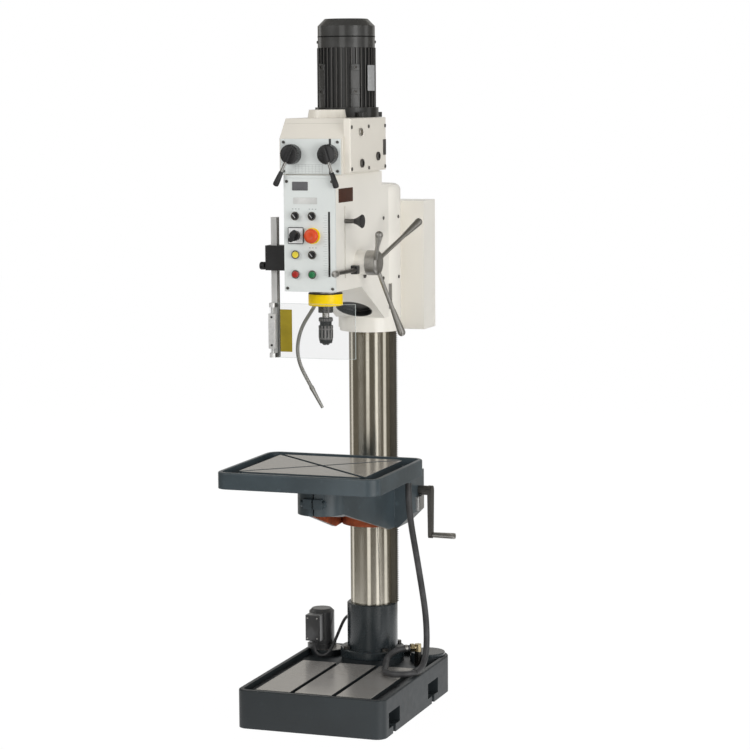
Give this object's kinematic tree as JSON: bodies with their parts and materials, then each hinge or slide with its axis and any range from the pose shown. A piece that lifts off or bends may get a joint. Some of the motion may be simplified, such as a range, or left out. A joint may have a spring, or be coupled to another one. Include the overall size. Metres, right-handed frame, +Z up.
{
  "type": "pillar drill",
  "caption": "Floor-standing gear-head pillar drill with round column, rack-lifted swinging table, coolant base, sprung quill with drill chuck, feed levers and swing guard.",
  "frame": {"origin": "on the floor, on the column's axis", "axes": "+Z up along the column, -Y to the front where the spindle and controls are, +X to the operator's right"},
  "size_m": [0.4958, 0.829, 1.982],
  "materials": {
    "cast_paint": "satin",
    "ground_steel": "ground",
    "rack_steel": "cut teeth",
    "dark_steel": "oiled",
    "grip_steel": "turned",
    "bezel_chrome": "polished",
    "cream_paint": "gloss",
    "panel_paint": "satin",
    "cabinet_paint": "gloss",
    "motor_paint": "satin",
    "rotor_steel": "turned",
    "black_plastic": "moulded",
    "black_rubber": "matte",
    "yellow_plastic": "moulded",
    "red_plastic": "moulded",
    "green_plastic": "moulded",
    "lamp_glass": "frosted",
    "brass": "turned",
    "oil_steel": "turned",
    "post_aluminium": "satin",
    "shield_glass": "clear",
    "neck_grey": "ribbed"
  },
  "bodies": {
    "frame": {"base": "cast_paint", "tank_lid": "cast_paint", "column_foot": "cast_paint", "fasteners": "dark_steel", "column": "ground_steel", "coolant_pump": "black_plastic", "cable_glands": "black_plastic", "pump_cable": "black_rubber", "drain_fitting": "brass", "drain_hose_lower": "black_rubber", "head_casting": "cream_paint", "work_lamp": "lamp_glass", "front_panel": "panel_paint", "control_bezels": "bezel_chrome", "estop_ring": "yellow_plastic", "pilot_lamp": "yellow_plastic", "gearbox_housing": "cream_paint", "gearbox_cover": "cream_paint", "gearbox_side_cover": "cream_paint", "spindle_cap": "cream_paint", "oil_fittings": "oil_steel", "motor_body": "motor_paint", "motor_cowl": "motor_paint", "cabinet_box": "cabinet_paint", "coolant_gooseneck": "neck_grey", "guard_bracket": "black_plastic"},
    "motor": {"motor_rotor": "rotor_steel"},
    "lay_shaft": {"lay_shaft": "ground_steel"},
    "spindle_gear": {"spindle_gear": "ground_steel"},
    "quill": {"quill": "ground_steel", "quill_collar": "yellow_plastic", "spindle_bearings": "dark_steel"},
    "spindle": {"spindle": "ground_steel", "drill_chuck": "dark_steel"},
    "feed": {"feed_shaft": "ground_steel", "feed_hub": "grip_steel", "feed_levers": "ground_steel"},
    "rack": {"rack": "rack_steel", "drain_hose_middle": "black_rubber"},
    "arm": {"arm": "cast_paint", "drain_hose_top": "black_rubber"},
    "speed_selector_left": {"speed_selector_left": "black_plastic"},
    "speed_selector_right": {"speed_selector_right": "black_plastic"},
    "estop_button": {"estop_button": "red_plastic"},
    "stop_button": {"stop_button": "red_plastic"},
    "start_button": {"start_button": "green_plastic"},
    "coolant_selector": {"coolant_selector": "black_plastic"},
    "light_selector": {"light_selector": "black_plastic"},
    "mode_selector": {"mode_selector": "black_plastic"},
    "isolator_knob": {"isolator_knob": "black_plastic"},
    "depth_stop": {"depth_stop": "black_plastic"},
    "feed_clutch_lever": {"feed_clutch_lever": "dark_steel"},
    "guard_post": {"guard_post": "post_aluminium"},
    "guard_shield": {"guard_shield": "shield_glass"},
    "cabinet_door": {"cabinet_door": "cabinet_paint"},
    "lift_pinion": {"lift_pinion": "ground_steel"},
    "crank": {"crank": "dark_steel"},
    "crank_grip": {"crank_grip": "grip_steel"},
    "table": {"table": "cast_paint"},
    "arm_clamp_lever": {"arm_clamp_lever": "dark_steel"}
  },
  "joints": [
    {"name": "table_swing", "type": "hinge", "parent": "frame", "child": "rack", "pos_m": [0, 0, 0.6], "axis": [0, 0, 1], "range_deg": [-40, 40], "deforming": ["drain_hose_lower"]},
    {"name": "table_lift", "type": "slide", "parent": "rack", "child": "arm", "axis": [0, 0, 1], "range_m": [-0.23, 0.14], "deforming": ["drain_hose_middle"]},
    {"name": "table_turn", "type": "hinge", "parent": "arm", "child": "table", "pos_m": [0, -0.415, 0.7], "axis": [0, 0, 1], "range_deg": [-25, 25], "deforming": ["drain_hose_top"]},
    {"name": "lift_pinion_turn", "type": "hinge", "parent": "arm", "child": "lift_pinion", "pos_m": [0.0944, 0, 0.611], "axis": [0, 1, 0], "range_deg": [-502, 824]},
    {"name": "crank_turn", "type": "hinge", "parent": "arm", "child": "crank", "pos_m": [0.15, 0.006, 0.611], "axis": [1, 0, 0], "range_deg": [-1648, 1003]},
    {"name": "crank_grip_spin", "type": "hinge", "parent": "crank", "child": "crank_grip", "pos_m": [0.22, 0.006, 0.479], "axis": [1, 0, 0], "continuous": true},
    {"name": "arm_clamp_turn", "type": "hinge", "parent": "arm", "child": "arm_clamp_lever", "pos_m": [0, 0.113, 0.6], "axis": [1, 0, 0], "range_deg": [-70, 0]},
    {"name": "quill_feed", "type": "slide", "parent": "frame", "child": "quill", "axis": [0, 0, -1], "range_m": [0, 0.12], "stiffness_N_per_m": 400, "springref_m": -0.5},
    {"name": "feed_turn", "type": "hinge", "parent": "frame", "child": "feed", "pos_m": [0.05, -0.3106, 1.303], "axis": [1, 0, 0], "range_deg": [0, 313]},
    {"name": "motor_spin", "type": "hinge", "parent": "frame", "child": "motor", "pos_m": [0, -0.187, 1.8], "axis": [0, 0, 1], "continuous": true},
    {"name": "lay_shaft_spin", "type": "hinge", "parent": "frame", "child": "lay_shaft", "pos_m": [0, -0.271, 1.62], "axis": [0, 0, 1], "continuous": true},
    {"name": "spindle_gear_spin", "type": "hinge", "parent": "frame", "child": "spindle_gear", "pos_m": [0, -0.371, 1.58], "axis": [0, 0, 1], "continuous": true},
    {"name": "spindle_spin", "type": "hinge", "parent": "quill", "child": "spindle", "pos_m": [0, -0.371, 1.3], "axis": [0, 0, 1], "continuous": true},
    {"name": "speed_left_turn", "type": "hinge", "parent": "frame", "child": "speed_selector_left", "pos_m": [-0.054, -0.49, 1.609], "axis": [0, 1, 0], "range_deg": [-40, 40]},
    {"name": "speed_right_turn", "type": "hinge", "parent": "frame", "child": "speed_selector_right", "pos_m": [0.054, -0.49, 1.609], "axis": [0, 1, 0], "range_deg": [-40, 40]},
    {"name": "estop_press", "type": "slide", "parent": "frame", "child": "estop_button", "axis": [0, 1, 0], "range_m": [0, 0.005]},
    {"name": "stop_press", "type": "slide", "parent": "frame", "child": "stop_button", "axis": [0, 1, 0], "range_m": [0, 0.004], "stiffness_N_per_m": 300, "springref_m": -0.003},
    {"name": "start_press", "type": "slide", "parent": "frame", "child": "start_button", "axis": [0, 1, 0], "range_m": [0, 0.004], "stiffness_N_per_m": 300, "springref_m": -0.003},
    {"name": "coolant_select", "type": "hinge", "parent": "frame", "child": "coolant_selector", "pos_m": [-0.04, -0.495, 1.441], "axis": [0, 1, 0], "range_deg": [-45, 45]},
    {"name": "light_select", "type": "hinge", "parent": "frame", "child": "light_selector", "pos_m": [0.009, -0.495, 1.441], "axis": [0, 1, 0], "range_deg": [-45, 45]},
    {"name": "mode_select", "type": "hinge", "parent": "frame", "child": "mode_selector", "pos_m": [0.009, -0.495, 1.335], "axis": [0, 1, 0], "range_deg": [-45, 45]},
    {"name": "isolator_turn", "type": "hinge", "parent": "frame", "child": "isolator_knob", "pos_m": [-0.04, -0.5, 1.387], "axis": [0, 1, 0], "range_deg": [0, 90]},
    {"name": "depth_stop_slide", "type": "slide", "parent": "frame", "child": "depth_stop", "axis": [0, 0, 1], "range_m": [-0.07, 0.03]},
    {"name": "clutch_lever_turn", "type": "hinge", "parent": "frame", "child": "feed_clutch_lever", "pos_m": [0.085, -0.358, 1.286], "axis": [1, 0, 0], "range_deg": [-30, 10]},
    {"name": "guard_lift", "type": "slide", "parent": "frame", "child": "guard_post", "axis": [0, 0, 1], "range_m": [-0.1, 0.03]},
    {"name": "guard_swing", "type": "hinge", "parent": "guard_post", "child": "guard_shield", "pos_m": [-0.126, -0.456, 1.12], "axis": [0, 0, 1], "range_deg": [-110, 0]},
    {"name": "cabinet_door_swing", "type": "hinge", "parent": "frame", "child": "cabinet_door", "pos_m": [-0.1403, 0.182, 1.268], "axis": [0, 0, 1], "range_deg": [0, 110]}
  ],
  "couplings": [
    {"joint": "lift_pinion_turn", "follows": "table_lift", "rad_per_m": -62.5},
    {"joint": "crank_turn", "follows": "table_lift", "rad_per_m": 125},
    {"joint": "feed_turn", "follows": "quill_feed", "rad_per_m": 45.455},
    {"joint": "lay_shaft_spin", "follows": "motor_spin", "ratio": -0.5},
    {"joint": "spindle_gear_spin", "follows": "motor_spin", "ratio": 0.25758},
    {"joint": "spindle_spin", "follows": "motor_spin", "ratio": 0.25758}
  ]
}
